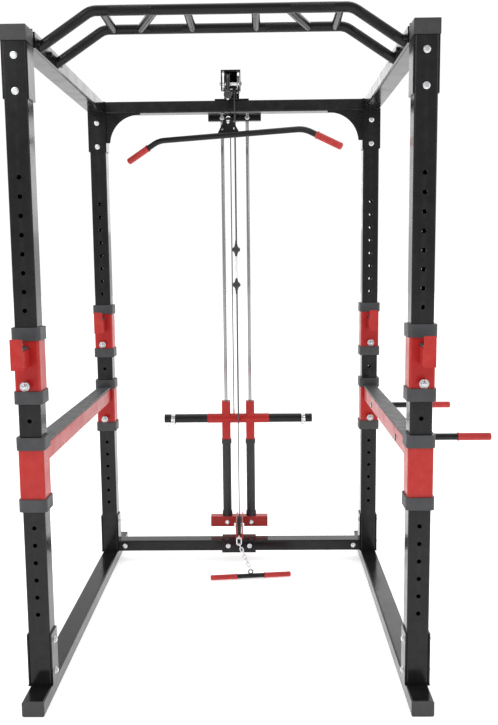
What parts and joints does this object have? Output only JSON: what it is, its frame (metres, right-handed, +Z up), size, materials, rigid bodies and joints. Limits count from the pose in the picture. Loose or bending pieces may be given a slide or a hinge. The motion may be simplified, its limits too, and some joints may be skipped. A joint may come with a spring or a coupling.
{
  "type": "power cage",
  "caption": "Steel power cage with a multi-grip pull-up bar, sliding bar hooks and spotter arms, dip handles and a plate-loaded tower with high and low cable handles.",
  "frame": {"origin": "on the floor under the middle of the whole cage, dip handles included", "axes": "+Z up, +Y from the open front towards the cable tower, +X to the right seen from the front"},
  "size_m": [1.5624, 1.62, 2.208],
  "materials": {
    "black_paint": "gloss black powder coat",
    "red_paint": "gloss red powder coat",
    "chrome": "polished chrome plate",
    "zinc": "bright zinc plate",
    "black_plastic": "fine matte texture",
    "grey_plastic": "fine matte texture",
    "red_grip": "soft satin",
    "black_rubber": "matte",
    "cable": "coated steel cable",
    "knob": "polished"
  },
  "bodies": {
    "frame": {"base_left": "black_paint", "base_right": "black_paint", "upright_front_left": "black_paint", "upright_front_right": "black_paint", "upright_rear_left": "black_paint", "upright_rear_right": "black_paint", "side_beam_left": "black_paint", "side_beam_right": "black_paint", "rear_top_beam": "black_paint", "rear_crossbar": "black_paint", "end_caps": "black_plastic", "frame_bolts": "zinc", "pullup_front": "black_paint", "pullup_rear": "black_paint", "pullup_rungs": "black_paint", "boom": "black_paint", "sheave_axles": "zinc", "guide_rods": "chrome", "tower_foot": "red_paint", "rod_sleeves": "black_rubber", "lat_cable": "cable", "row_cable_upper": "cable", "row_cable_lower": "cable"},
    "carriage": {"carriage_frame": "red_paint", "carriage_posts": "black_paint", "post_collars": "chrome"},
    "lat_hook": {"lat_hook": "zinc"},
    "lat_bar": {"lat_bar": "black_paint", "lat_bar_grips": "red_grip"},
    "cable_link": {"cable_link": "zinc"},
    "row_eye": {"row_eye": "zinc"},
    "row_bar": {"row_chain": "zinc", "row_bar": "black_paint", "row_bar_grips": "red_grip"},
    "front_sheave": {"front_sheave": "black_plastic"},
    "rear_sheave": {"rear_sheave": "black_plastic"},
    "middle_sheave": {"middle_sheave": "black_plastic"},
    "low_sheave": {"low_sheave": "black_plastic"},
    "hook_front_left": {"hook_front_left": "red_paint", "hook_front_left_trim": "grey_plastic"},
    "hook_front_left_pin": {"hook_front_left_pin": "knob"},
    "hook_rear_left": {"hook_rear_left": "red_paint", "hook_rear_left_trim": "grey_plastic"},
    "hook_rear_left_pin": {"hook_rear_left_pin": "knob"},
    "spotter_left": {"spotter_left": "red_paint", "spotter_left_trim": "grey_plastic"},
    "spotter_left_front_pin": {"spotter_left_front_pin": "knob"},
    "spotter_left_rear_pin": {"spotter_left_rear_pin": "knob"},
    "hook_front_right": {"hook_front_right": "red_paint", "hook_front_right_trim": "grey_plastic"},
    "hook_front_right_pin": {"hook_front_right_pin": "knob"},
    "hook_rear_right": {"hook_rear_right": "red_paint", "hook_rear_right_trim": "grey_plastic"},
    "hook_rear_right_pin": {"hook_rear_right_pin": "knob"},
    "spotter_right": {"spotter_right": "red_paint", "spotter_right_trim": "grey_plastic", "dip_handles": "black_paint", "dip_grips": "red_grip"},
    "spotter_right_front_pin": {"spotter_right_front_pin": "knob"},
    "spotter_right_rear_pin": {"spotter_right_rear_pin": "knob"}
  },
  "joints": [
    {"name": "hook_front_left_height", "type": "slide", "parent": "frame", "child": "hook_front_left", "axis": [0, 0, 1], "range_m": [-0.057, 0.285]},
    {"name": "hook_front_left_pin_pull", "type": "slide", "parent": "hook_front_left", "child": "hook_front_left_pin", "axis": [0, -1, 0], "range_m": [0, 0.02], "stiffness_N_per_m": 800, "springref_m": -0.01},
    {"name": "hook_rear_left_height", "type": "slide", "parent": "frame", "child": "hook_rear_left", "axis": [0, 0, 1], "range_m": [-0.057, 0.285]},
    {"name": "hook_rear_left_pin_pull", "type": "slide", "parent": "hook_rear_left", "child": "hook_rear_left_pin", "axis": [0, -1, 0], "range_m": [0, 0.02], "stiffness_N_per_m": 800, "springref_m": -0.01},
    {"name": "spotter_left_height", "type": "slide", "parent": "frame", "child": "spotter_left", "axis": [0, 0, 1], "range_m": [-0.342, 0]},
    {"name": "spotter_left_front_pin_pull", "type": "slide", "parent": "spotter_left", "child": "spotter_left_front_pin", "axis": [0, 1, 0], "range_m": [0, 0.02], "stiffness_N_per_m": 800, "springref_m": -0.01},
    {"name": "spotter_left_rear_pin_pull", "type": "slide", "parent": "spotter_left", "child": "spotter_left_rear_pin", "axis": [0, -1, 0], "range_m": [0, 0.02], "stiffness_N_per_m": 800, "springref_m": -0.01},
    {"name": "hook_front_right_height", "type": "slide", "parent": "frame", "child": "hook_front_right", "axis": [0, 0, 1], "range_m": [-0.057, 0.285]},
    {"name": "hook_front_right_pin_pull", "type": "slide", "parent": "hook_front_right", "child": "hook_front_right_pin", "axis": [0, -1, 0], "range_m": [0, 0.02], "stiffness_N_per_m": 800, "springref_m": -0.01},
    {"name": "hook_rear_right_height", "type": "slide", "parent": "frame", "child": "hook_rear_right", "axis": [0, 0, 1], "range_m": [-0.057, 0.285]},
    {"name": "hook_rear_right_pin_pull", "type": "slide", "parent": "hook_rear_right", "child": "hook_rear_right_pin", "axis": [0, -1, 0], "range_m": [0, 0.02], "stiffness_N_per_m": 800, "springref_m": -0.01},
    {"name": "spotter_right_height", "type": "slide", "parent": "frame", "child": "spotter_right", "axis": [0, 0, 1], "range_m": [-0.342, 0]},
    {"name": "spotter_right_front_pin_pull", "type": "slide", "parent": "spotter_right", "child": "spotter_right_front_pin", "axis": [0, 1, 0], "range_m": [0, 0.02], "stiffness_N_per_m": 800, "springref_m": -0.01},
    {"name": "spotter_right_rear_pin_pull", "type": "slide", "parent": "spotter_right", "child": "spotter_right_rear_pin", "axis": [0, -1, 0], "range_m": [0, 0.02], "stiffness_N_per_m": 800, "springref_m": -0.01},
    {"name": "carriage_lift", "type": "slide", "parent": "frame", "child": "carriage", "axis": [0, 0, 1], "range_m": [0, 0.96], "deforming": ["lat_cable", "row_cable_upper", "row_cable_lower"]},
    {"name": "lat_pull", "type": "slide", "parent": "frame", "child": "lat_hook", "axis": [0, 0, 1], "range_m": [-0.96, 0]},
    {"name": "lat_bar_swivel", "type": "hinge", "parent": "lat_hook", "child": "lat_bar", "pos_m": [-0.15075, 0.406, 1.99], "axis": [0, 0, 1], "range_deg": [0, 25]},
    {"name": "link_drop", "type": "slide", "parent": "frame", "child": "cable_link", "axis": [0, 0, 1], "range_m": [-0.96, 0]},
    {"name": "row_pull", "type": "slide", "parent": "frame", "child": "row_eye", "axis": [0, -1, 0], "range_m": [0, 0.96]},
    {"name": "row_bar_swing", "type": "hinge", "parent": "row_eye", "child": "row_bar", "pos_m": [-0.12675, 0.423, 0.15], "axis": [-1, 0, 0], "range_deg": [0, 50]},
    {"name": "front_sheave_spin", "type": "hinge", "parent": "frame", "child": "front_sheave", "pos_m": [-0.15075, 0.446, 2.152], "axis": [1, 0, 0], "continuous": true},
    {"name": "rear_sheave_spin", "type": "hinge", "parent": "frame", "child": "rear_sheave", "pos_m": [-0.15075, 0.62, 2.152], "axis": [1, 0, 0], "continuous": true},
    {"name": "middle_sheave_spin", "type": "hinge", "parent": "frame", "child": "middle_sheave", "pos_m": [-0.12675, 0.561, 2.154], "axis": [1, 0, 0], "continuous": true},
    {"name": "low_sheave_spin", "type": "hinge", "parent": "frame", "child": "low_sheave", "pos_m": [-0.12675, 0.478, 0.19], "axis": [1, 0, 0], "continuous": true}
  ],
  "couplings": [
    {"joint": "lat_pull", "follows": "carriage_lift", "ratio": -1},
    {"joint": "link_drop", "follows": "carriage_lift", "ratio": -1},
    {"joint": "row_pull", "follows": "carriage_lift", "ratio": 1},
    {"joint": "front_sheave_spin", "follows": "carriage_lift", "rad_per_m": 25},
    {"joint": "rear_sheave_spin", "follows": "carriage_lift", "rad_per_m": 25},
    {"joint": "middle_sheave_spin", "follows": "carriage_lift", "rad_per_m": 23.256},
    {"joint": "low_sheave_spin", "follows": "carriage_lift", "rad_per_m": -25}
  ]
}
